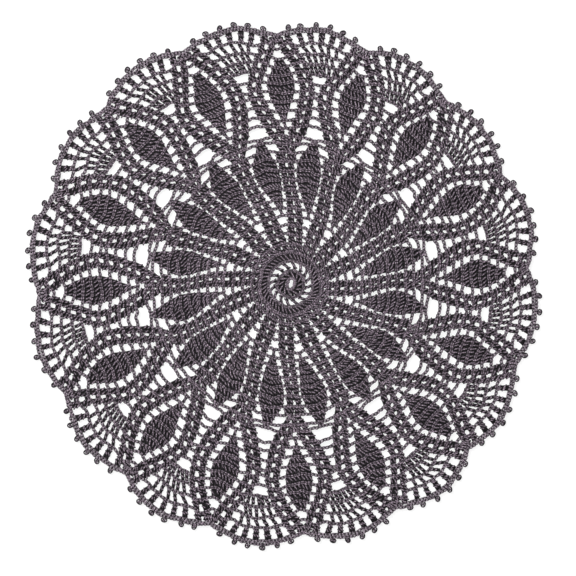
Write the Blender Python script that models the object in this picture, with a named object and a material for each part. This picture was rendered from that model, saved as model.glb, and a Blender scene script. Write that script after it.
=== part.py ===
"""A round crocheted lace doily, laid flat.

It is one piece of cotton yarn, worked from the middle out in 27 rounds and 16 repeats:
a ring of leaf shapes, a second ring of leaves set half a repeat further round, and a fan
over each inner leaf, which ends in a scallop with six picots. Here it is one flat sheet
with the doily's own outline and its 289 largest openings cut through.

The pattern is charted on an even circle, with each angle in degrees clockwise from +Y.
Hand work is never quite even, so the chart is then turned and stretched a little, repeat
by repeat, to the shape in which the doily lies.
"""
import math
from collections import namedtuple

import bpy

# Driving sizes, in metres
THICKNESS = 0.002
REPEATS = 16
PITCH = 360 / REPEATS
START_TURN = 8.0           # where the first repeat's middle lies, in degrees

MIDDLE_RADIUS = 0.1023     # the round between the two rings of leaves
EDGE_RADIUS = 0.1678       # the middle of the outermost row of fan gaps

VALLEY_RADIUS = 0.1686     # the edge where two scallops meet
SCALLOP_RISE = 0.0072      # how much higher the edge is at a scallop's middle
EDGE_TURN = 0.1            # how far a scallop's middle is turned, in degrees

PICOTS = 6
PICOT_PITCH = 3.3          # degrees
PICOT_HEIGHT = 0.0038
PICOT_SHOULDER = 0.6       # how far up a picot is widest, as a share of its height
PICOT_FOOT = 0.0030
PICOT_WIDTH = 0.0044

CENTRE_HOLE = (0.0030, 0.0052)
HOLE_SQUARENESS = 0.72     # 1 is a diamond or an ellipse, less is nearer to a rectangle
BROAD_OPENING = 0.010      # an opening wider than this has eight corners, and others six

# How unevenly the work lies, a row for each repeat: how far it leans round, in degrees,
# and how much longer or shorter it is than the mean, at the middle and at the edge.
Unevenness = namedtuple("Unevenness", "lean middle edge")
UNEVEN = [
    Unevenness(-0.9, 1.016, 0.995),
    Unevenness(-1.8, 0.986, 0.980),
    Unevenness(-1.8, 0.973, 0.959),
    Unevenness(-1.1, 0.963, 0.962),
    Unevenness(0.1, 0.962, 0.961),
    Unevenness(0.8, 0.977, 0.970),
    Unevenness(0.9, 0.989, 0.996),
    Unevenness(0.4, 1.013, 1.007),
    Unevenness(-0.3, 1.021, 1.018),
    Unevenness(-0.7, 1.007, 1.027),
    Unevenness(-0.8, 1.007, 1.013),
    Unevenness(0.1, 1.003, 1.013),
    Unevenness(1.2, 1.008, 1.019),
    Unevenness(1.9, 1.019, 1.026),
    Unevenness(1.2, 1.028, 1.035),
    Unevenness(0.3, 1.027, 1.021),
]

# The openings of one repeat, in metres and degrees. turn is the middle's angle from the
# repeat's own, spread is how far a pair lies to each side of that, and flare is how much
# wider the outer side is than the inner one.
Opening = namedtuple("Opening", "place radius turn spread width height flare")
OPENINGS = [
    Opening("domed gap under the inner leaf", 0.0424, 7.3, 0.0, 0.0072, 0.0050, 0.05),
    Opening("gap under the outer leaf", 0.1004, -9.2, 0.0, 0.0058, 0.0039, 0.20),
    Opening("wide gap over the inner leaf", 0.1023, 1.8, 0.0, 0.0128, 0.0064, 0.35),
    Opening("second gap over the leaf", 0.1095, 1.4, 0.0, 0.0094, 0.0042, 0.20),
    Opening("third gap over the leaf", 0.1160, 1.1, 0.0, 0.0062, 0.0042, 0.15),
    Opening("gap under the fan's foot", 0.1314, 0.8, 0.0, 0.0055, 0.0057, 0.20),
    Opening("foot of the fan", 0.1391, 0.8, 0.0, 0.0126, 0.0056, 0.05),
    Opening("gap over the outer leaf's tip", 0.1536, -10.7, 0.0, 0.0106, 0.0050, -0.30),
    Opening("outer gaps, second fan row", 0.1523, 0.8, 4.55, 0.0055, 0.0047, 0.10),
    Opening("outer gaps, third fan row", 0.1584, 0.6, 5.7, 0.0059, 0.0046, 0.10),
    Opening("outer gaps, last fan row", 0.1652, 0.15, 7.1, 0.0056, 0.0064, 0.10),
    Opening("next gaps, last fan row", 0.1682, 0.1, 4.25, 0.0045, 0.0065, 0.20),
    Opening("middle gaps, last fan row", 0.1695, 0.0, 1.45, 0.0042, 0.0067, 0.20),
]


def between_repeats(column, turn):
    """A column of UNEVEN at a chart angle, on a smooth curve through its rows."""
    place = turn / PITCH
    row = math.floor(place)
    t = place - row
    a, b, c, d = (getattr(UNEVEN[(row + step) % REPEATS], column) for step in (-1, 0, 1, 2))
    return b + 0.5 * t * (c - a + t * (2 * a - 5 * b + 4 * c - d + t * (3 * (b - c) + d - a)))


def lie(radius, turn):
    """Where a point of the even chart lies in the real doily, from the ring's middle."""
    middle = between_repeats("middle", turn)
    edge = between_repeats("edge", turn)
    outward = (radius - MIDDLE_RADIUS) / (EDGE_RADIUS - MIDDLE_RADIUS)
    stretch = middle + (edge - middle) * min(max(outward, 0), 1)
    lean = between_repeats("lean", turn) * min(radius / MIDDLE_RADIUS, 1)
    angle = math.radians(START_TURN + turn + lean)
    return radius * stretch * math.sin(angle), radius * stretch * math.cos(angle)


def edge_radius(turn):
    """The scalloped edge without its picots: half a cosine wave over each scallop."""
    across = (turn - EDGE_TURN + PITCH / 2) % PITCH - PITCH / 2
    return VALLEY_RADIUS + SCALLOP_RISE * math.cos(math.pi * across / PITCH)


def picot(turn):
    """The five corners of one knob on the edge."""
    foot = edge_radius(turn)
    half_foot = math.degrees(PICOT_FOOT / 2 / foot)
    half_width = math.degrees(PICOT_WIDTH / 2 / foot)
    shoulder = foot + PICOT_SHOULDER * PICOT_HEIGHT
    return [
        (edge_radius(turn - half_foot), turn - half_foot),
        (shoulder, turn - half_width),
        (foot + PICOT_HEIGHT, turn),
        (shoulder, turn + half_width),
        (edge_radius(turn + half_foot), turn + half_foot),
    ]


def outline():
    """The whole edge, clockwise: at each repeat a valley, then the scallop's picots."""
    points = []
    for repeat in range(REPEATS):
        middle = repeat * PITCH + EDGE_TURN
        valley = middle - PITCH / 2
        points.append((edge_radius(valley), valley))
        for number in range(PICOTS):
            points += picot(middle + (number - (PICOTS - 1) / 2) * PICOT_PITCH)
    return [lie(radius, turn) for radius, turn in points]


def rounded(width, height, flare=0.0):
    """The corners of a rounded opening about its middle, sideways and outwards."""
    broad = width > BROAD_OPENING
    step = 2 * math.pi / (8 if broad else 6)
    if broad:
        first = step / 2
    else:
        first = math.pi / 2 if height > width else 0
    points = []
    for number in range(8 if broad else 6):
        angle = first + number * step
        sideways, outwards = (
            math.copysign(abs(part) ** HOLE_SQUARENESS, part)
            for part in (math.cos(angle), math.sin(angle))
        )
        points.append((0.5 * width * sideways * (1 + flare * outwards), 0.5 * height * outwards))
    return points


def opening(row, turn):
    """One cut opening of the doily's pattern at a chart angle."""
    points = rounded(row.width, row.height, row.flare)
    return [
        lie(row.radius + outwards, turn + math.degrees(sideways / row.radius))
        for sideways, outwards in points
    ]


def openings():
    """The centre hole and all the openings of all the repeats."""
    cut = [rounded(*CENTRE_HOLE)]
    for repeat in range(REPEATS):
        for row in OPENINGS:
            turns = {row.turn - row.spread, row.turn + row.spread}
            cut += [opening(row, repeat * PITCH + turn) for turn in sorted(turns)]
    return cut


def middle_of(points):
    """The middle of the box round some points."""
    return [(min(values) + max(values)) / 2 for values in zip(*points)]


def cotton():
    """Dark mauve-grey cotton yarn."""
    material = bpy.data.materials.new("grey_cotton")
    material.use_nodes = True
    shader = material.node_tree.nodes["Principled BSDF"]
    shader.inputs["Base Color"].default_value = (0.093, 0.078, 0.093, 1)
    shader.inputs["Roughness"].default_value = 0.9
    shader.inputs["Metallic"].default_value = 0.0
    return material


def crocheted_sheet():
    """The doily: a filled flat outline whose inner splines are its openings."""
    curve = bpy.data.curves.new("doily", "CURVE")
    curve.dimensions = "2D"
    curve.fill_mode = "BOTH"
    curve.extrude = THICKNESS / 2
    edge = outline()
    centre_x, centre_y = middle_of(edge)
    for points in [edge, *openings()]:
        spline = curve.splines.new("POLY")
        spline.points.add(len(points) - 1)
        for corner, (x, y) in zip(spline.points, points):
            corner.co = (x - centre_x, y - centre_y, 0, 1)
        spline.use_cyclic_u = True
    curve.materials.append(cotton())
    doily = bpy.data.objects.new("doily", curve)
    doily.location.z = THICKNESS / 2
    return doily


for old in list(bpy.data.objects):
    bpy.data.objects.remove(old)

pieces = bpy.data.collections.new("lace_doily")
bpy.context.scene.collection.children.link(pieces)
pieces.objects.link(crocheted_sheet())
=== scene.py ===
"""A round crocheted lace doily in dark mauve-grey cotton, laid flat on a white table.

It is worked from the middle out, and built here round by round as it is crocheted: each
round stands on the chain edge of the round below. All sizes are in millimetres, and all
turns in degrees clockwise from the top of the doily.
"""
import math
from collections import namedtuple
from functools import partial

import bpy
import numpy as np
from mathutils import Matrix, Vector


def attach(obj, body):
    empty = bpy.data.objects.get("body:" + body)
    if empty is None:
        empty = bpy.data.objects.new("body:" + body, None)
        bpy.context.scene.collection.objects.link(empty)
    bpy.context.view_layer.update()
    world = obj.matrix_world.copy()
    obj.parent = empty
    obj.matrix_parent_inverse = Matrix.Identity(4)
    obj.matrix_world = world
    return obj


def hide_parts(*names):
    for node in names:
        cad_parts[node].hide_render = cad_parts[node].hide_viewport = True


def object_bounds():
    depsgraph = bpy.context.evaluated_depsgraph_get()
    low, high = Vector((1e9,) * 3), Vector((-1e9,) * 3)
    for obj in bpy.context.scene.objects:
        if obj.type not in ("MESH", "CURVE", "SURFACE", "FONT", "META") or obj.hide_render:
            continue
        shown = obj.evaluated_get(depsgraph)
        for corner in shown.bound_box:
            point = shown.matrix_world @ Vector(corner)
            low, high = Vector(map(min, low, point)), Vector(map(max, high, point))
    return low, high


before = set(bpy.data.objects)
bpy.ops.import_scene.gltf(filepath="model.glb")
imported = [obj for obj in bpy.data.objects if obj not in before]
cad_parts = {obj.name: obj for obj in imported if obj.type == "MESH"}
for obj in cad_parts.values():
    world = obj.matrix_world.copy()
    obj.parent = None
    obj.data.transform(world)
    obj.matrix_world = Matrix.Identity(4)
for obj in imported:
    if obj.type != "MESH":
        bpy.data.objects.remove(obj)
cad_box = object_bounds()

# The middle: rounds 1 to 7.
# The yarn is a two-ply cotton as thick as a pencil lead. A ring of chain stitches is closed
# and filled with double crochet, and from round 4 on each repeat is one shell of four.
MM = 0.001
YARN_SIDES = 5
LOW_SIDES = 4                 # of the yarn that lies low, under the rest

REPEATS = 16
PITCH = 360 / REPEATS
VALLEY = PITCH / 2            # the turn at which two repeats meet
START_TURN = 8.0              # where the first repeat's middle lies
RING_MIDDLE = (4.93, 1.46)    # where the work starts, from the middle of its own box

LEAF_ROUND = 102.3            # the round between the two rings of leaves
LAST_ROUND = 167.8            # the middle of the last round

Unevenness = namedtuple("Unevenness", "lean middle edge")
UNEVEN = [
    Unevenness(-0.9, 1.016, 0.995),
    Unevenness(-1.8, 0.986, 0.980),
    Unevenness(-1.8, 0.973, 0.959),
    Unevenness(-1.1, 0.963, 0.962),
    Unevenness(0.1, 0.962, 0.961),
    Unevenness(0.8, 0.977, 0.970),
    Unevenness(0.9, 0.989, 0.996),
    Unevenness(0.4, 1.013, 1.007),
    Unevenness(-0.3, 1.021, 1.018),
    Unevenness(-0.7, 1.007, 1.027),
    Unevenness(-0.8, 1.007, 1.013),
    Unevenness(0.1, 1.003, 1.013),
    Unevenness(1.2, 1.008, 1.019),
    Unevenness(1.9, 1.019, 1.026),
    Unevenness(1.2, 1.028, 1.035),
    Unevenness(0.3, 1.027, 1.021),
]

# Hand work also strays a little everywhere: slow waves across the cloth, in millimetres.
Wave = namedtuple("Wave", "length heading start size lean")
STRAY_WAVES = [
    Wave(47.0, 20.0, 0.4, 0.36, 0.3),
    Wave(31.0, 75.0, 2.1, 0.32, 1.1),
    Wave(23.0, 130.0, 4.0, 0.28, -0.6),
    Wave(17.0, 165.0, 1.2, 0.24, 0.9),
    Wave(13.0, 48.0, 5.3, 0.20, -1.2),
    Wave(9.5, 102.0, 3.1, 0.15, 0.5),
]

LINK_LENGTH = 2.35            # one chain stitch
LINK_RADIUS = 0.58            # pulled through double, so a little thicker
LINK_SHARES = (0.0, 0.38, 0.76)       # the places along it of the three points that shape it
LINK_OFFSETS = (0.34, 0.61, 0.64)     # how far its two strands lie from its middle line there
LINK_HEIGHTS = (0.86, 1.62, 1.80)
LINK_SLIP = 0.04              # how far its points slip along the chain, as a share of it
LINK_STRAY = 0.05             # and how far they stray otherwise

EDGE_POINTS = 220 * REPEATS   # of one chain edge, before it is parted into links
SLACK_POINTS = 24 * REPEATS
SLACK = 0.28                  # how far a chain edge wanders in and out
CORNER_HALF = 0.8             # over how many degrees its corners are rounded
CORNER_STEPS = 9
ARCH_HALF = 1.9               # the chain over the middle of a shell
ARCH_RISE = 0.7

CORE_RADIUS = 1.00            # the upright part of a stitch, which is wider than it is thick
CORE_DEPTH = 0.76
CORE_HEIGHT = 0.78
FOOT_INSET = 0.6              # a stitch starts under the chain edge that it is worked into
TOP_INSET = 0.25              # and ends under its own
STRAY = 0.18                  # how far its two ends stray
LONE_STRAY = 0.36             # where it has no close neighbours
ON_AXIS = 0.5                 # a group nearer to a repeat's middle or end isn't mirrored

WRAP_RADIUS = 0.53            # a turn of yarn that slants over a stitch
WRAP_PLACE = 0.5              # how far up the stitch its middle lies
WRAP_SLANT = 1.40             # how far it climbs on each side of that
TWO_PLACES = (0.28, 0.62)     # a stitch that is long or in a shell has two
TWO_SLANT = 0.85
EVEN_SLANT = 1.9              # and it is steep in the even rounds
LONG_STITCH = 7.1
WRAP_HALF = 0.95              # how far it reaches to each side
WRAP_SHARES = (-1.18, -0.72, 0.72, 1.18)    # of that, where its four points lie
WRAP_HEIGHTS = (0.98, 1.72, 1.72, 0.98)     # its ends dive into the cloth
PLACE_STRAY = 0.03
REACH_STRAY = 0.08
SLANT_STRAY = 0.12
RISE_STRAY = 0.07

BACK_RADIUS = 0.90            # the yarn behind two neighbours, which is flattened too
BACK_DEPTH = 0.50
BACK_HEIGHT = 0.60
BACK_SHARES = (0.03, 0.5, 1.0)
BACK_STRAY = 0.08

uneven_hand = np.random.default_rng(27)


def between_repeats(column, turn):
    """A column of UNEVEN at some turns, on a smooth curve through its rows."""
    values = np.array([getattr(row, column) for row in UNEVEN])
    place = np.asarray(turn, float) / PITCH
    row = np.floor(place).astype(int)
    t = place - row
    a, b, c, d = (values[(row + step) % REPEATS] for step in (-1, 0, 1, 2))
    return b + 0.5 * t * (c - a + t * (2 * a - 5 * b + 4 * c - d + t * (3 * (b - c) + d - a)))


def lie(radius, turn):
    """Where points of the even pattern lie in the real cloth, as an array of x and y."""
    middle = between_repeats("middle", turn)
    edge = between_repeats("edge", turn)
    outward = np.clip((radius - LEAF_ROUND) / (LAST_ROUND - LEAF_ROUND), 0, 1)
    reach = radius * (middle + (edge - middle) * outward)
    lean = between_repeats("lean", turn) * np.minimum(radius / LEAF_ROUND, 1)
    angle = np.radians(START_TURN + turn + lean)
    x = RING_MIDDLE[0] + reach * np.sin(angle)
    y = RING_MIDDLE[1] + reach * np.cos(angle)
    even = np.stack([x, y], axis=-1)
    strayed = even.copy()
    for wave in STRAY_WAVES:
        heading = math.radians(wave.heading)
        across = x * math.sin(heading) + y * math.cos(heading)
        pull = wave.size * np.sin(2 * math.pi * across / wave.length + wave.start)
        strayed[..., 0] += pull * math.cos(heading + wave.lean)
        strayed[..., 1] -= pull * math.sin(heading + wave.lean)
    return strayed


# One round. axis is how far the repeats' middles are turned in it. line is its chain edge
# over half a repeat, as turns from the repeat's middle and radii. shells are the turns of
# its shells, whose chain rises in a small arch.
Round = namedtuple("Round", "axis line shells stitches")

# A group of stitches. The turns and half widths are where its outermost stitches stand and
# end. split parts the tops in the middle. backed is how many sets of neighbours have the
# yarn of the stitches' backs between them.
Group = namedtuple("Group", "count foot foot_half top top_half split backed")

SHELL_FOOT = 0.66             # how wide a shell stands, as a share of its top
SWELL = 1.1                   # how far its outer stitches swell sideways
PLUG_END = 0.56               # how far up the feet of a shell close the slit in its middle
PLUG_SHARES = (0.1, 0.6, 1.0)
PLUG_RADIUS = 1.35
PLUG_DEPTH = 0.66
PLUG_HEIGHT = 0.72


def shell(foot, top, half=4.3, split=2.3, count=4):
    """Double crochets worked into one chain space, with two chain stitches in the middle."""
    return Group(count, foot, SHELL_FOOT * half, top, half, split, 2)


def leaf(count, foot_half, top_half, at=0.0):
    """A row of a leaf: double crochets side by side."""
    return Group(count, at, foot_half, at, top_half, 0.0, 1)


def line_radius(work, turn):
    """The radius of a round's chain edge at some turns, with its arches."""
    across = (np.asarray(turn, float) - work.axis + PITCH / 2) % PITCH - PITCH / 2
    turns, radii = zip(*work.line)
    steps = np.linspace(-CORNER_HALF, CORNER_HALF, CORNER_STEPS)
    beside = np.abs((across[..., None] + steps + PITCH / 2) % PITCH - PITCH / 2)
    radius = np.interp(beside, turns, radii).mean(axis=-1)
    for at in work.shells:
        off = (np.abs(np.abs(across) - at)) * np.pi / 180 * radius
        radius = radius + ARCH_RISE * np.clip(1 - (off / ARCH_HALF) ** 2, 0, None)
    return radius


def tubes(paths, radius, closed, depth=None, sides=YARN_SIDES):
    """Yarn round many paths with as many points each: its corners, side faces and end faces,
    and the place of each side face's corners round and along it, in turns and millimetres.
    depth is the upright radius of yarn that is wider than it is thick."""
    count, points = paths.shape[:2]
    if closed:
        ahead = np.roll(paths, -1, axis=1)
        behind = np.roll(paths, 1, axis=1)
    else:
        ahead = np.concatenate([paths[:, 1:], paths[:, -1:]], axis=1)
        behind = np.concatenate([paths[:, :1], paths[:, :-1]], axis=1)
    along = ahead - behind
    along /= np.linalg.norm(along, axis=-1, keepdims=True)
    side = np.cross(along, (0, 0, 1))
    side /= np.linalg.norm(side, axis=-1, keepdims=True)
    up = np.cross(side, along)
    angle = np.arange(sides) * 2 * math.pi / sides + math.pi / 2
    across = radius * np.cos(angle)[:, None] * side[..., None, :]
    upright_by = (depth or radius) * np.sin(angle)[:, None] * up[..., None, :]
    corners = paths[..., None, :] + across + upright_by

    spans = points if closed else points - 1
    first = np.arange(spans)
    after = (first + 1) % points
    edge = np.arange(sides)
    turned = (edge + 1) % sides
    start = np.arange(count)[:, None, None] * points * sides
    near = start + first[:, None] * sides
    far = start + after[:, None] * sides
    faces = np.stack([near + edge, near + turned, far + turned, far + edge], axis=-1)

    step = np.linalg.norm(ahead - paths, axis=-1)[:, :spans]
    reached = np.cumsum(step, axis=1)
    begun = reached - step
    round_it = np.stack([edge, edge + 1, edge + 1, edge], axis=-1) / sides
    round_it = np.broadcast_to(round_it, faces.shape)
    places = [begun, begun, reached, reached]
    along_it = np.stack([np.broadcast_to(p[..., None], faces.shape[:-1]) for p in places], axis=-1)
    strand = np.stack([round_it, along_it], axis=-1)

    ends = np.empty((0, sides), int)
    if not closed:
        last = start[:, 0] + (points - 1) * sides
        ends = np.concatenate([start[:, 0] + edge[::-1], last + edge])
    return corners.reshape(-1, 3), faces.reshape(-1, 4), ends, strand.reshape(-1, 4, 2)


def chain_edge(radius_at):
    """A closed ring of chain stitches, seen from above as a plait of two strands."""
    turn = np.linspace(0, 360, EDGE_POINTS, endpoint=False)
    wander = uneven_hand.normal(0, SLACK, SLACK_POINTS)
    slack = np.interp(turn, np.linspace(0, 360, SLACK_POINTS), wander)
    path = lie(radius_at(turn) + slack, turn)
    step = np.linalg.norm(np.roll(path, -1, axis=0) - path, axis=1)
    reached = np.concatenate([[0], np.cumsum(step)])
    links = round(reached[-1] / LINK_LENGTH)
    share = (np.arange(links)[:, None] + np.array(LINK_SHARES)) / links
    wanted = (share + uneven_hand.normal(0, LINK_SLIP / links, share.shape)).ravel()
    closed = np.concatenate([path, path[:1]])
    wrapped = wanted % 1 * reached[-1]
    middle = np.stack([np.interp(wrapped, reached, closed[:, k]) for k in (0, 1)], axis=-1)
    ahead = np.roll(middle, -1, axis=0) - np.roll(middle, 1, axis=0)
    ahead /= np.linalg.norm(ahead, axis=1, keepdims=True)
    out = np.stack([-ahead[:, 1], ahead[:, 0]], axis=-1)
    offset = np.tile(LINK_OFFSETS, links)
    height = np.tile(LINK_HEIGHTS, links)
    made = []
    for hand in (-1, 1):
        loose = uneven_hand.normal(0, LINK_STRAY, (2, len(offset)))
        flat = middle + out * (hand * offset + loose[0])[:, None]
        strand = np.concatenate([flat, (height + loose[1])[:, None]], axis=1)
        made.append(tubes(strand[None], LINK_RADIUS, closed=True))
    return made


def stitch_places(group, radius_foot, radius_top, axis_foot, axis_top, repeat):
    """The feet and tops of one group's stitches in one repeat, as x and y, and how far each
    swells sideways."""
    share = np.linspace(-1, 1, group.count) if group.count > 1 else np.zeros(1)
    top_off = np.sign(share) * group.split + share * (group.top_half - group.split)
    if group.split and group.count > 2:
        inner = np.abs(share).min()
        spread = (np.abs(share) - inner) / (1 - inner)
        top_off = np.sign(share) * (group.split + spread * (group.top_half - group.split))
    foot_off = share * group.foot_half
    foot_turn = repeat * PITCH + axis_foot + group.foot
    top_turn = repeat * PITCH + axis_top + group.top
    foot_turn = foot_turn + np.degrees(foot_off / radius_foot(np.array(foot_turn)))
    top_turn = top_turn + np.degrees(top_off / radius_top(np.array(top_turn)))
    foot = lie(radius_foot(foot_turn) - FOOT_INSET, foot_turn)
    top = lie(radius_top(top_turn) - TOP_INSET, top_turn)
    stray = STRAY if group.backed else LONE_STRAY
    foot = foot + uneven_hand.normal(0, stray, foot.shape)
    top = top + uneven_hand.normal(0, stray, top.shape)
    return foot, top, -share * (SWELL if group.split else 0.0)


def upright(foot, top, swell, s):
    """Places along stitches, which swell sideways in the middle, and the way across them."""
    along = top - foot
    along /= np.linalg.norm(along, axis=1, keepdims=True)
    side = np.stack([-along[:, 1], along[:, 0]], axis=-1)
    bow = swell[:, None] * np.sin(math.pi * s)
    flat = foot[:, None] + (top - foot)[:, None] * s[..., None] + side[:, None] * bow[..., None]
    return flat, along[:, None], side[:, None]


def cores(foot, top, swell):
    """The upright parts of double crochets."""
    s = np.broadcast_to(np.linspace(0, 1, 3), (len(foot), 3))
    flat, along, side = upright(foot, top, swell, s)
    rise = np.full(flat.shape[:2] + (1,), CORE_HEIGHT)
    return tubes(np.concatenate([flat, rise], axis=-1), CORE_RADIUS, False, CORE_DEPTH, LOW_SIDES)


def wraps(foot, top, swell, place=WRAP_PLACE, slant=WRAP_SLANT):
    """A turn of yarn that slants over each double crochet."""
    at = place + uneven_hand.normal(0, PLACE_STRAY, (len(foot), 1))
    flat, along, side = upright(foot, top, swell, at)
    reach = np.array(WRAP_SHARES) * (1 + uneven_hand.normal(0, REACH_STRAY, (len(foot), 1)))
    slants = slant + uneven_hand.normal(0, SLANT_STRAY, (len(foot), 1, 1))
    flat = flat + side * (WRAP_HALF * reach)[..., None] + along * slants * reach[..., None]
    rise = np.array(WRAP_HEIGHTS) + uneven_hand.normal(0, RISE_STRAY, (len(foot), 1))
    path = np.concatenate([flat, rise[..., None]], axis=-1)
    return tubes(path, WRAP_RADIUS, False)


def backing(foot, top, swell):
    """The yarn carried behind neighbouring stitches, which closes the cloth between them."""
    s = np.broadcast_to(BACK_SHARES, (len(foot) - 1, len(BACK_SHARES)))
    ends = [(values[:-1] + values[1:]) / 2 for values in (foot, top, swell)]
    flat, along, side = upright(*ends, s)
    flat = flat + uneven_hand.normal(0, BACK_STRAY, flat.shape)
    rise = np.full(flat.shape[:2] + (1,), BACK_HEIGHT)
    return tubes(np.concatenate([flat, rise], axis=-1), BACK_RADIUS, False, BACK_DEPTH, LOW_SIDES)


def plugs(foot, top):
    """The crowded feet of shells, which close the slit in the middle but for a small eye."""
    begin = foot.mean(axis=1)
    end = begin + (top.mean(axis=1) - begin) * PLUG_END
    s = np.array(PLUG_SHARES)
    flat = begin[:, None] + (end - begin)[:, None] * s[:, None]
    rise = np.full(flat.shape[:2] + (1,), PLUG_HEIGHT)
    return tubes(np.concatenate([flat, rise], axis=-1), PLUG_RADIUS, False, PLUG_DEPTH, LOW_SIDES)


def crochet_round(below, work):
    """The yarn of one round: its chain edge and stitches, and apart from those the yarn
    that fills them out."""
    radius_foot = partial(line_radius, below)
    radius_top = partial(line_radius, work)
    made = chain_edge(radius_top)
    feet, tops, swells, filling = [], [], [], []
    for group in work.stitches:
        mirrored = ON_AXIS < abs(group.top) < VALLEY - ON_AXIS
        for hand in (-1, 1) if mirrored else (1,):
            one = group._replace(foot=hand * group.foot, top=hand * group.top)
            for repeat in range(REPEATS):
                foot, top, swell = stitch_places(
                    one, radius_foot, radius_top, below.axis, work.axis, repeat
                )
                feet.append(foot)
                tops.append(top)
                swells.append(swell)
                for share in range(group.backed if group.count > 1 else 0):
                    size = group.count // group.backed
                    beside = slice(share * size, (share + 1) * size)
                    filling.append(backing(foot[beside], top[beside], swell[beside]))
                if not group.backed:
                    filling += flanks(foot, top)
                if group.split:
                    filling.append(plugs(foot[None], top[None]))
    stitches = [np.concatenate(values) for values in (feet, tops, swells)]
    made.append(cores(*stitches))
    foot, top, swell = stitches
    two = (swell != 0) | (np.linalg.norm(top - foot, axis=1) > LONG_STITCH)
    if not two.all():
        filling.append(wraps(foot[~two], top[~two], swell[~two]))
    if two.any():
        for place in TWO_PLACES:
            filling.append(wraps(foot[two], top[two], swell[two], place, TWO_SLANT))
    return made, filling


def crochet_rounds(below, rounds):
    """The yarn of rounds that are worked one on the other, as crochet_round gives it."""
    made, filling = [], []
    for work in rounds:
        cloth, beside = crochet_round(below, work)
        made += cloth
        filling += beside
        below = work
    return made, filling


# A round of stitches spaced evenly all round, from a radius to its chain edge. Each stitch
# leans back by lean degrees and is bowed sideways by swell.
EvenRound = namedtuple("EvenRound", "foot work count lean swell backed")


def even_round(row):
    """The yarn of one even round."""
    turn = np.arange(row.count) * 360 / row.count
    foot = lie(np.full(row.count, row.foot), turn + row.lean)
    top = lie(line_radius(row.work, turn - row.lean) - TOP_INSET, turn - row.lean)
    bowed = np.full(row.count, row.swell)
    made = chain_edge(partial(line_radius, row.work))
    made.append(wraps(foot, top, bowed, slant=EVEN_SLANT))
    if row.backed:
        beside = [np.concatenate([values, values[:1]]) for values in (foot, top, bowed)]
        made.append(backing(*beside))
    return made + [cores(foot, top, bowed)]


MAP_MARGIN = 0.005            # round the picture that OFBake lays over the piece


def yarn_piece(name, parts):
    """One mesh of all these lengths of yarn. Its map strand gives places round and along the
    yarn, and OFBake gives places in the whole piece as seen from above."""
    corners, faces, ends, strand = zip(*parts)
    starts = np.cumsum([0] + [len(c) for c in corners[:-1]])
    quads = np.concatenate([f + s for f, s in zip(faces, starts)])
    caps = [cap for e, s in zip(ends, starts) for cap in (e + s).tolist()]
    cap_corners = np.array([corner for cap in caps for corner in cap], int)
    mesh = bpy.data.meshes.new(name)
    mesh.from_pydata((np.concatenate(corners) * MM).tolist(), [], quads.tolist() + caps)
    places = mesh.uv_layers.new(name="strand")
    along = np.concatenate([np.concatenate(strand).reshape(-1, 2), np.zeros((len(cap_corners), 2))])
    places.uv.foreach_set("vector", along.astype(np.float32).ravel())

    laid_out = mesh.uv_layers.new(name="OFBake")
    place = np.concatenate(corners)[:, :2]
    low = place.min(axis=0)
    span = (place.max(axis=0) - low).max()
    vertex = np.concatenate([quads.ravel(), cap_corners])
    seen = MAP_MARGIN + (1 - 2 * MAP_MARGIN) * (place[vertex] - low) / span
    laid_out.uv.foreach_set("vector", seen.astype(np.float32).ravel())

    mesh.shade_smooth()
    mesh.materials.append(grey_cotton)
    piece = bpy.data.objects.new(name, mesh)
    bpy.context.scene.collection.objects.link(piece)
    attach(piece, "root")
    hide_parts("doily")
    return piece


# Painted shade: the yarn is coloured darker the lower it lies, between these two heights.
DEEP = 1.52 * MM              # yarn below this height is dark
PROUD = 2.25 * MM             # and above this one it has its full colour
PLY_PITCH = 1.35              # millimetres of yarn for one turn of its plies
GROOVE_SHADE = 0.15

grey_cotton = bpy.data.materials.new("grey_cotton")
grey_cotton.use_nodes = True
nodes = grey_cotton.node_tree.nodes
links = grey_cotton.node_tree.links
shader = nodes["Principled BSDF"]
shader.inputs["Roughness"].default_value = 0.8
shader.inputs["Specular IOR Level"].default_value = 0.2
shader.inputs["Sheen Weight"].default_value = 0.12
shader.inputs["Sheen Roughness"].default_value = 0.5

place = nodes.new("ShaderNodeTexCoord")
mottle = nodes.new("ShaderNodeTexNoise")
mottle.inputs["Scale"].default_value = 700
mottle.inputs["Detail"].default_value = 2
links.new(place.outputs["Object"], mottle.inputs["Vector"])
shade = nodes.new("ShaderNodeValToRGB")
shade.color_ramp.elements[0].position = 0.3
shade.color_ramp.elements[0].color = (0.165, 0.130, 0.163, 1)
shade.color_ramp.elements[1].position = 0.7
shade.color_ramp.elements[1].color = (0.65, 0.52, 0.63, 1)
links.new(mottle.outputs["Fac"], shade.inputs["Fac"])

# Painted shade: yarn that lies deep, and the flanks of each strand, which face away from the light
# above, are coloured darker, where shade would fall.
split_place = nodes.new("ShaderNodeSeparateXYZ")
links.new(place.outputs["Object"], split_place.inputs["Vector"])
depth = nodes.new("ShaderNodeMapRange")
depth.inputs["From Min"].default_value = DEEP
depth.inputs["From Max"].default_value = PROUD
depth.inputs["To Min"].default_value = 0.0
links.new(split_place.outputs["Z"], depth.inputs["Value"])
facing = nodes.new("ShaderNodeSeparateXYZ")
links.new(place.outputs["Normal"], facing.inputs["Vector"])
flank = nodes.new("ShaderNodeMapRange")
flank.inputs["From Min"].default_value = 0.25
flank.inputs["From Max"].default_value = 0.95
flank.inputs["To Min"].default_value = 0.0
links.new(facing.outputs["Z"], flank.inputs["Value"])
painted_shade = nodes.new("ShaderNodeMath")
painted_shade.operation = "MULTIPLY"
links.new(depth.outputs["Result"], painted_shade.inputs[0])
links.new(flank.outputs["Result"], painted_shade.inputs[1])
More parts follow.
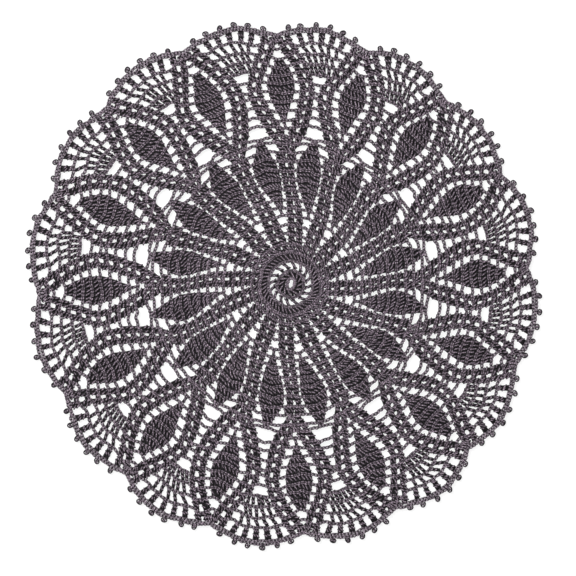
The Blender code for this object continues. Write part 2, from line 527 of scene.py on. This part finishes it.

# The plies turn round the yarn like a rope's, with a groove between them that is bumped and also
# painted dark, as shade.
along_yarn = nodes.new("ShaderNodeUVMap")
along_yarn.uv_map = "strand"
split_yarn = nodes.new("ShaderNodeSeparateXYZ")
links.new(along_yarn.outputs["UV"], split_yarn.inputs["Vector"])
reach = nodes.new("ShaderNodeMath")
reach.operation = "DIVIDE"
links.new(split_yarn.outputs["Y"], reach.inputs[0])
reach.inputs[1].default_value = PLY_PITCH
turned = nodes.new("ShaderNodeMath")
turned.operation = "ADD"
links.new(split_yarn.outputs["X"], turned.inputs[0])
links.new(reach.outputs["Value"], turned.inputs[1])
ply = nodes.new("ShaderNodeMath")
ply.operation = "PINGPONG"
links.new(turned.outputs["Value"], ply.inputs[0])
ply.inputs[1].default_value = 0.5
groove = nodes.new("ShaderNodeMapRange")
groove.interpolation_type = "SMOOTHSTEP"
groove.inputs["From Min"].default_value = 0.0
groove.inputs["From Max"].default_value = 0.3
groove.inputs["To Min"].default_value = GROOVE_SHADE
links.new(ply.outputs["Value"], groove.inputs["Value"])
ply_bump = nodes.new("ShaderNodeBump")
ply_bump.inputs["Strength"].default_value = 1.0
ply_bump.inputs["Distance"].default_value = 0.12 * MM
links.new(groove.outputs["Result"], ply_bump.inputs["Height"])
links.new(ply_bump.outputs["Normal"], shader.inputs["Normal"])
tone = nodes.new("ShaderNodeMath")
tone.operation = "MULTIPLY"
links.new(painted_shade.outputs["Value"], tone.inputs[0])
links.new(groove.outputs["Result"], tone.inputs[1])
# Painted shade: the yarn's colour is mixed towards near-black where deep yarn, strand flanks and
# ply grooves would lie in shade.
shaded_colour = nodes.new("ShaderNodeMix")
shaded_colour.data_type = "RGBA"
shaded_colour.inputs["A"].default_value = (0.012, 0.009, 0.012, 1)
links.new(tone.outputs["Value"], shaded_colour.inputs["Factor"])
links.new(shade.outputs["Color"], shaded_colour.inputs["B"])
links.new(shaded_colour.outputs["Result"], shader.inputs["Base Color"])

# Round 1 is crowded, round 2 is airy and its stitches lean back, and round 3 is dense again.
RING_HOLE = 3.1
RING_STRETCH = 0.22           # the first ring is pulled a little longer one way
ROUND_3 = Round(11.2, ((0, 21.1), (VALLEY, 20.9)), (), ())
EVEN_ROUNDS = [
    EvenRound(3.8, Round(0.0, ((0, 9.0), (VALLEY, 9.0)), (), ()), 12, 4.0, 0.0, True),
    EvenRound(9.1, Round(0.0, ((0, 15.2), (VALLEY, 15.2)), (), ()), 16, 6.5, -0.7, False),
    EvenRound(15.3, ROUND_3, 44, 1.2, 0.0, True),
]
MIDDLE_ROUNDS = [
    Round(11.2, ((0, 26.7), (VALLEY, 25.2)), (VALLEY,), [shell(VALLEY, VALLEY, 3.5, 1.5)]),
    Round(9.1, ((0, 33.0), (VALLEY, 30.9)), (VALLEY,), [shell(VALLEY, VALLEY, 3.6, 1.6)]),
    Round(8.1, ((0, 39.0), (VALLEY, 37.4)), (VALLEY,), [shell(VALLEY, VALLEY, 4.2, 1.9)]),
    Round(7.3, ((0, 45.8), (VALLEY, 43.9)), (VALLEY,), [shell(VALLEY, VALLEY, 4.2, 1.9)]),
]


def ring_radius(turn):
    """The radius of the chain ring that the work starts with, round its open middle."""
    return RING_HOLE * (1 + RING_STRETCH * np.cos(np.radians(2 * turn)))


middle = chain_edge(ring_radius)
for row in EVEN_ROUNDS:
    middle += even_round(row)
cloth, filling = crochet_rounds(ROUND_3, MIDDLE_ROUNDS)
middle_piece = yarn_piece("middle_rounds", middle + cloth + filling)

# The inner leaves widen: rounds 8 to 11.
# Each shell goes on as a column of shells, and between two of them a leaf of double crochet
# starts in the chain space and widens by two stitches a round.
WIDENING = [
    Round(
        6.35,
        ((0, 50.9), (VALLEY, 49.6)),
        (VALLEY,),
        [shell(VALLEY, VALLEY, 3.9, 1.8), leaf(1, 0, 0)],
    ),
    Round(
        5.0,
        ((0, 56.7), (VALLEY, 55.6)),
        (VALLEY,),
        [shell(VALLEY, VALLEY, 3.7, 1.75), leaf(3, 0.6, 2.6)],
    ),
    Round(
        3.55,
        ((0, 63.6), (VALLEY, 61.7)),
        (VALLEY,),
        [shell(VALLEY, VALLEY, 3.3, 1.6), leaf(5, 2.6, 4.6)],
    ),
    Round(
        2.7,
        ((0, 70.0), (VALLEY, 67.7)),
        (VALLEY,),
        [shell(VALLEY, VALLEY, 3.2, 1.6), leaf(7, 4.6, 6.5)],
    ),
]

cloth, filling = crochet_rounds(MIDDLE_ROUNDS[-1], WIDENING)
widening_piece = yarn_piece("inner_leaves_widening", cloth + filling)

# The inner leaves narrow: rounds 12 to 14.
# Seven stitches wide at most, the leaves lose two a round, and the shells start to spread.
NARROWING = [
    Round(
        2.0,
        ((0, 77.0), (VALLEY, 73.9)),
        (VALLEY,),
        [shell(VALLEY, VALLEY, 3.3, 1.65), leaf(7, 6.5, 7.7)],
    ),
    Round(
        1.7,
        ((0, 83.4), (VALLEY, 80.6)),
        (VALLEY,),
        [shell(VALLEY, VALLEY, 4.1, 1.9), leaf(7, 7.7, 7.2)],
    ),
    Round(
        1.95,
        ((0, 88.6), (VALLEY, 86.9)),
        (VALLEY,),
        [shell(VALLEY, VALLEY, 6.1, 1.7, 6), leaf(5, 6.4, 4.6)],
    ),
]

cloth, filling = crochet_rounds(WIDENING[-1], NARROWING)
narrowing_piece = yarn_piece("inner_leaves_narrowing", cloth + filling)

# The forks: rounds 15 to 19.
# Over each shell column two new ones part like a fork. The inner leaves end under a wide gap
# between them, and in each fork the first stitches of an outer leaf stand.
FORKS = [
    Round(
        2.1,
        ((0, 94.3), (VALLEY, 93.2)),
        (),
        [
            Group(2, VALLEY, 0.5, VALLEY, 1.05, 0.0, 1),
            Group(2, VALLEY - 1.0, 0.5, VALLEY - 3.8, 1.05, 0.0, 1),
            leaf(3, 4.2, 2.0),
        ],
    ),
    Round(
        2.15,
        ((0, 96.8), (4.2, 98.0), (VALLEY, 98.1)),
        (8.1,),
        [shell(VALLEY - 1.9, 8.0, 3.8, 1.7), leaf(2, 1.3, 1.2)],
    ),
    Round(1.85, ((0, 107.0), (6.35, 104.7), (VALLEY, 103.4)), (6.2,), [shell(8.0, 6.2, 4.8)]),
    Round(
        1.4,
        ((0, 112.7), (5.25, 110.2), (VALLEY, 109.1)),
        (5.1,),
        [shell(6.2, 5.1, 4.8), leaf(1, 0, 0, at=VALLEY)],
    ),
    Round(
        1.1,
        ((0, 119.5), (4.1, 116.5), (VALLEY, 115.1)),
        (3.95,),
        [shell(5.1, 3.95, 4.7), leaf(3, 0.5, 2.9, at=VALLEY)],
    ),
]

# The yarn that fills the stitches out is a piece of its own here.
cloth, filling = crochet_rounds(NARROWING[-1], FORKS)
forks_piece = yarn_piece("forks", cloth)
fork_filling_piece = yarn_piece("fork_filling", filling)

# The outer leaves widen: rounds 20 to 22.
# They stand half a repeat further round than the inner ones. The two columns that flank the
# gap over each inner leaf lean together until they meet in round 21.
OUTER_WIDENING = [
    Round(
        0.85,
        ((0, 126.3), (3.35, 123.1), (VALLEY, 121.2)),
        (3.25,),
        [shell(3.95, 3.25, 4.3), leaf(5, 2.9, 5.7, at=VALLEY)],
    ),
    Round(
        0.84,
        ((0, 128.9), (2.8, 130.1), (VALLEY, 127.3)),
        (2.8,),
        [shell(3.25, 2.8, 4.1), leaf(7, 5.7, 8.2, at=VALLEY)],
    ),
    Round(
        0.8,
        ((0, 135.3), (3.4, 136.7), (VALLEY, 133.3)),
        (3.4,),
        [shell(2.8, 3.4, 3.95), leaf(7, 8.2, 8.4, at=VALLEY)],
    ),
]

cloth, filling = crochet_rounds(FORKS[-1], OUTER_WIDENING)
outer_widening_piece = yarn_piece("outer_leaves_widening", cloth + filling)

# The outer leaves narrow: rounds 23 and 24.
# The shell columns part again round a wide chain space, and the first row of a fan stands
# in it: five single stitches, which lean back a little.
FAN_LEAN = 0.4
FLANK_OFFSET = 0.62
FLANK_RADIUS = 0.55


def flanks(foot, top):
    """The looser yarn on both sides of a stitch that stands alone."""
    s = np.broadcast_to(np.linspace(0, 1, 3), (len(foot), 3))
    flat, along, side = upright(foot, top, np.zeros(len(foot)), s)
    rise = np.full(flat.shape[:2] + (1,), FLANK_RADIUS)
    made = []
    for hand in (-1, 1):
        path = np.concatenate([flat + side * hand * FLANK_OFFSET, rise], axis=-1)
        made.append(tubes(path, FLANK_RADIUS, False, sides=LOW_SIDES))
    return made


def fan(count, foot_half, top_half):
    """A row of a fan: single stitches parted by chain."""
    return Group(count, FAN_LEAN, foot_half, -FAN_LEAN, top_half, 0.0, 0)


OUTER_NARROWING = [
    Round(
        0.9,
        ((0, 143.2), (4.65, 142.7), (VALLEY, 138.9)),
        (4.65,),
        [shell(3.4, 4.65, 3.95), leaf(7, 8.4, 7.3, at=VALLEY)],
    ),
    Round(
        0.85,
        ((0, 150.5), (3.5, 149.1), (5.9, 149.4), (VALLEY, 144.4)),
        (5.9,),
        [shell(4.65, 5.9, 4.0), leaf(5, 6.6, 4.6, at=VALLEY), fan(5, 5.2, 6.9)],
    ),
]

cloth, filling = crochet_rounds(OUTER_WIDENING[-1], OUTER_NARROWING)
outer_narrowing_piece = yarn_piece("outer_leaves_narrowing", cloth + filling)

# The fans: rounds 25 and 26.
# Their five stitches spread further apart from round to round, over one more chain each.
FAN_ROUNDS = [
    Round(
        0.6,
        ((0, 158.2), (4.6, 155.4), (7.4, 155.7), (VALLEY, 150.3)),
        (7.4,),
        [shell(5.9, 7.4), leaf(3, 3.8, 2.0, at=VALLEY), fan(5, 6.9, 8.8)],
    ),
    Round(
        0.15,
        ((0, 165.0), (3.3, 163.9), (5.7, 161.4), (8.8, 162.9), (VALLEY, 157.1)),
        (8.8,),
        [shell(7.4, 8.8), fan(5, 8.8, 12.7)],
    ),
]

cloth, filling = crochet_rounds(OUTER_NARROWING[-1], FAN_ROUNDS)
fan_piece = yarn_piece("fans", cloth + filling)

# The edge: round 27 and its picots.
# Each fan ends in five pairs of stitches under a double chain, which carries six picots:
# small knobs of three chain stitches each, closed into a loop.
VALLEY_RADIUS = 168.6
SCALLOP_RISE = 7.2
EDGE_TURN = 0.1
PICOTS = 6
PICOT_PITCH = 3.3
PICOT_YARN = 0.54
PICOT_MIDDLE = 1.4            # how far outside the edge a picot's middle lies
PICOT_LOOPS = ((1.62, 1.05), (0.62, 1.45))    # the radius and height of its two strands
PICOT_WAVE = 0.26             # how far from round they are
PICOT_POINTS = 12
PICOT_TURN_STRAY = 0.12
PICOT_STRAY = 0.15
STALK = 1.0
STALK_INSET = 0.8
EDGE_CHAINS = (0.85, 2.5)     # how far inside the edge its two chains run
LAST_LINE_TURNS = (0, 2.8, 5.6, 8.4, VALLEY)
GUSSET_COUNT = 5              # short stitches in the valley between two scallops
GUSSET_FOOT = 162.2
GUSSET_FOOT_HALF = 3.4
GUSSET_TOP = 166.6
GUSSET_TOP_HALF = 3.8


def edge_radius(turn):
    """The scalloped edge without its picots: half a cosine wave over each scallop."""
    across = (np.asarray(turn, float) - EDGE_TURN + PITCH / 2) % PITCH - PITCH / 2
    return VALLEY_RADIUS + SCALLOP_RISE * np.cos(math.pi * across / PITCH)


def picot_loops():
    """All the picots: two round strands each, on a short stalk."""
    number = np.arange(REPEATS * PICOTS)
    turn = number // PICOTS * PITCH + EDGE_TURN
    turn = turn + (number % PICOTS - (PICOTS - 1) / 2) * PICOT_PITCH
    turn = turn + uneven_hand.normal(0, PICOT_TURN_STRAY, len(turn))
    radius = edge_radius(turn) + uneven_hand.normal(0, PICOT_STRAY, len(turn))
    foot = lie(radius - STALK_INSET, turn)
    middle = lie(radius + PICOT_MIDDLE, turn)
    angle = np.arange(PICOT_POINTS) * 2 * math.pi / PICOT_POINTS
    made = []
    for reach, height in PICOT_LOOPS:
        start = uneven_hand.uniform(0, 6, len(turn))[:, None]
        wave = PICOT_WAVE * np.cos(2 * angle + start)
        ring = np.stack([np.cos(angle), np.sin(angle)], axis=-1)
        flat = middle[:, None] + ring * (reach + wave)[..., None]
        rise = height + wave[..., None]
        made.append(tubes(np.concatenate([flat, rise], axis=-1), PICOT_YARN, True))
    out = middle - foot
    out /= np.linalg.norm(out, axis=1, keepdims=True)
    return made + [cores(foot, foot + out * STALK, np.zeros(len(foot)))]


LAST = Round(
    0.1,
    tuple((t, float(edge_radius(t + EDGE_TURN)) - EDGE_CHAINS[1]) for t in LAST_LINE_TURNS),
    (9.9,),
    [
        shell(8.8, 9.9),
        Group(2, 0.0, 0.5, 0.0, 1.15, 0.0, 1),
        Group(2, 2.25, 0.5, 2.85, 1.15, 0.0, 1),
        Group(2, 4.5, 0.5, 5.7, 1.15, 0.0, 1),
    ],
)


def gussets():
    """The short stitches that fill the valley between two scallops."""
    across = np.linspace(-1, 1, GUSSET_COUNT)
    swell = np.zeros(GUSSET_COUNT)
    made = []
    for repeat in range(REPEATS):
        valley = repeat * PITCH + VALLEY
        foot_turn = valley + np.degrees(across * GUSSET_FOOT_HALF / GUSSET_FOOT)
        top_turn = valley + np.degrees(across * GUSSET_TOP_HALF / GUSSET_TOP)
        foot = lie(np.full(GUSSET_COUNT, GUSSET_FOOT), foot_turn)
        top = lie(np.full(GUSSET_COUNT, GUSSET_TOP), top_turn)
        made += [cores(foot, top, swell), wraps(foot, top, swell), backing(foot, top, swell)]
    return made


cloth, filling = crochet_round(FAN_ROUNDS[-1], LAST)
cloth += chain_edge(lambda turn: edge_radius(turn) - EDGE_CHAINS[0])
cloth += gussets()
cloth += picot_loops()
edge_piece = yarn_piece("edge_and_picots", cloth + filling)

# The table and the light.
# A white table top under broad soft lamps, seen from straight above.
FRAME_WIDTH = 0.3917
VIEW_MIDDLE = (0.00306, -0.00136)
CAMERA_HEIGHT = 2.0
TABLE_GAP = 0.0002

table_mesh = bpy.data.meshes.new("table_top")
table_mesh.from_pydata([(-2, -2, 0), (2, -2, 0), (2, 2, 0), (-2, 2, 0)], [], [(0, 1, 2, 3)])
table = bpy.data.objects.new("table_top", table_mesh)
bpy.context.scene.collection.objects.link(table)
white = bpy.data.materials.new("white_table")
white.use_nodes = True
white_shader = white.node_tree.nodes["Principled BSDF"]
white_shader.inputs["Base Color"].default_value = (0.25, 0.25, 0.25, 1)
white_shader.inputs["Roughness"].default_value = 0.7
white_shader.inputs["Emission Color"].default_value = (1, 1, 1, 1)
white_shader.inputs["Emission Strength"].default_value = 0.82
table_mesh.materials.append(white)
table.location.z = cad_box[0][2] - TABLE_GAP

Lamp = namedtuple("Lamp", "name place size power")
LAMPS = [
    Lamp("key", (-1.1, 1.1, 1.3), 0.6, 38),
    Lamp("fill", (0.8, -0.6, 1.6), 1.4, 8),
]
for lamp in LAMPS:
    light = bpy.data.lights.new(lamp.name, "AREA")
    light.size = lamp.size
    light.energy = lamp.power
    holder = bpy.data.objects.new(lamp.name, light)
    holder.location = lamp.place
    toward = -np.array(lamp.place)
    holder.rotation_euler = (
        math.acos(-toward[2] / np.linalg.norm(toward)),
        0,
        math.atan2(toward[1], toward[0]) - math.pi / 2,
    )
    bpy.context.scene.collection.objects.link(holder)

world = bpy.data.worlds.new("studio")
world.use_nodes = True
world.node_tree.nodes["Background"].inputs["Color"].default_value = (1, 1, 1, 1)
world.node_tree.nodes["Background"].inputs["Strength"].default_value = 0.31
bpy.context.scene.world = world
bpy.context.scene.view_settings.view_transform = "Standard"

camera_data = bpy.data.cameras.new("camera")
camera_data.sensor_width = 36
camera_data.lens = 36 * CAMERA_HEIGHT / FRAME_WIDTH
camera_data.clip_end = 10
camera = bpy.data.objects.new("camera", camera_data)
camera.location = (VIEW_MIDDLE[0], VIEW_MIDDLE[1], CAMERA_HEIGHT)
bpy.context.scene.collection.objects.link(camera)
bpy.context.scene.camera = camera
